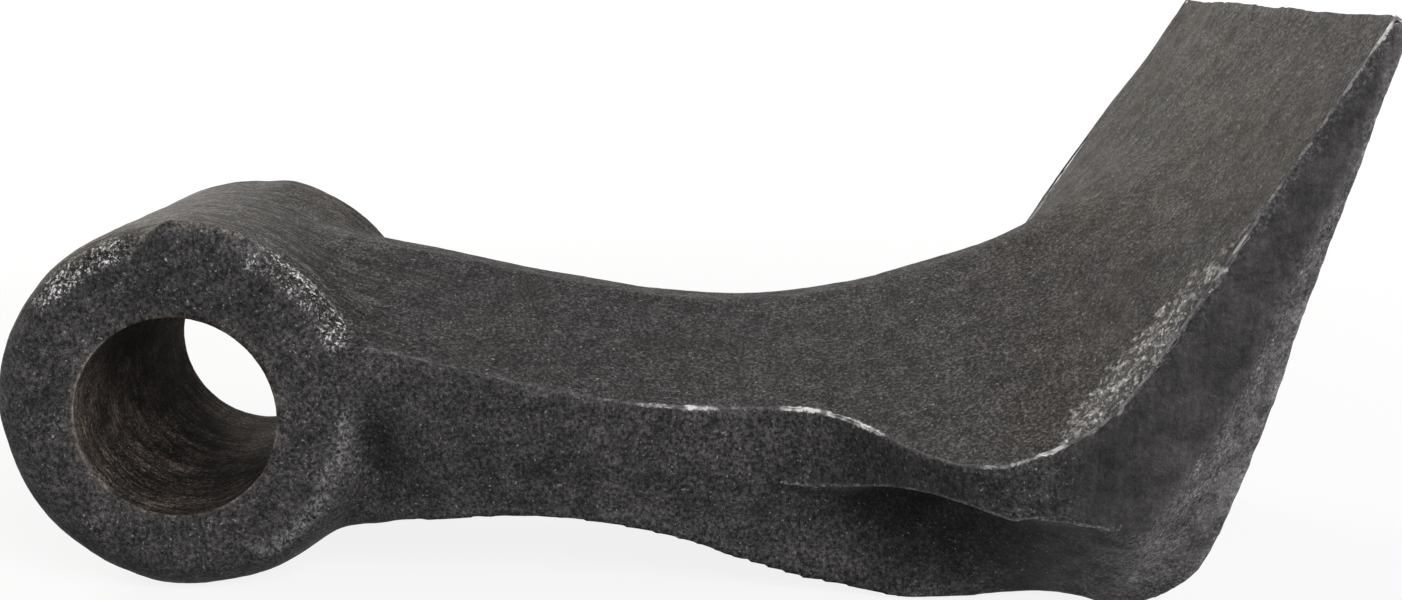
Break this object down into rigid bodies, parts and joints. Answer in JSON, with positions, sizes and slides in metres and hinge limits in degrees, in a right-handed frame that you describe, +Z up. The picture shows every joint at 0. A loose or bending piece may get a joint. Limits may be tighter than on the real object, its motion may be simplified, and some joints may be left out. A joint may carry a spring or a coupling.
{
  "type": "mulcher hammer blade",
  "caption": "Forged mulcher hammer with a bored eye, a short waisted shank and a broad wedge-shaped cutting blade that rises from a heel.",
  "frame": {"origin": "on the axis of the eye's bore, in the middle of its length", "axes": "+X along the shank from the eye to the blade, +Y along the bore, +Z up, towards the cutting edge"},
  "size_m": [0.1347, 0.075, 0.0595],
  "materials": {
    "forged_steel": "rough"
  },
  "bodies": {
    "root": {"hammer_blade": "forged_steel"}
  },
  "joints": []
}
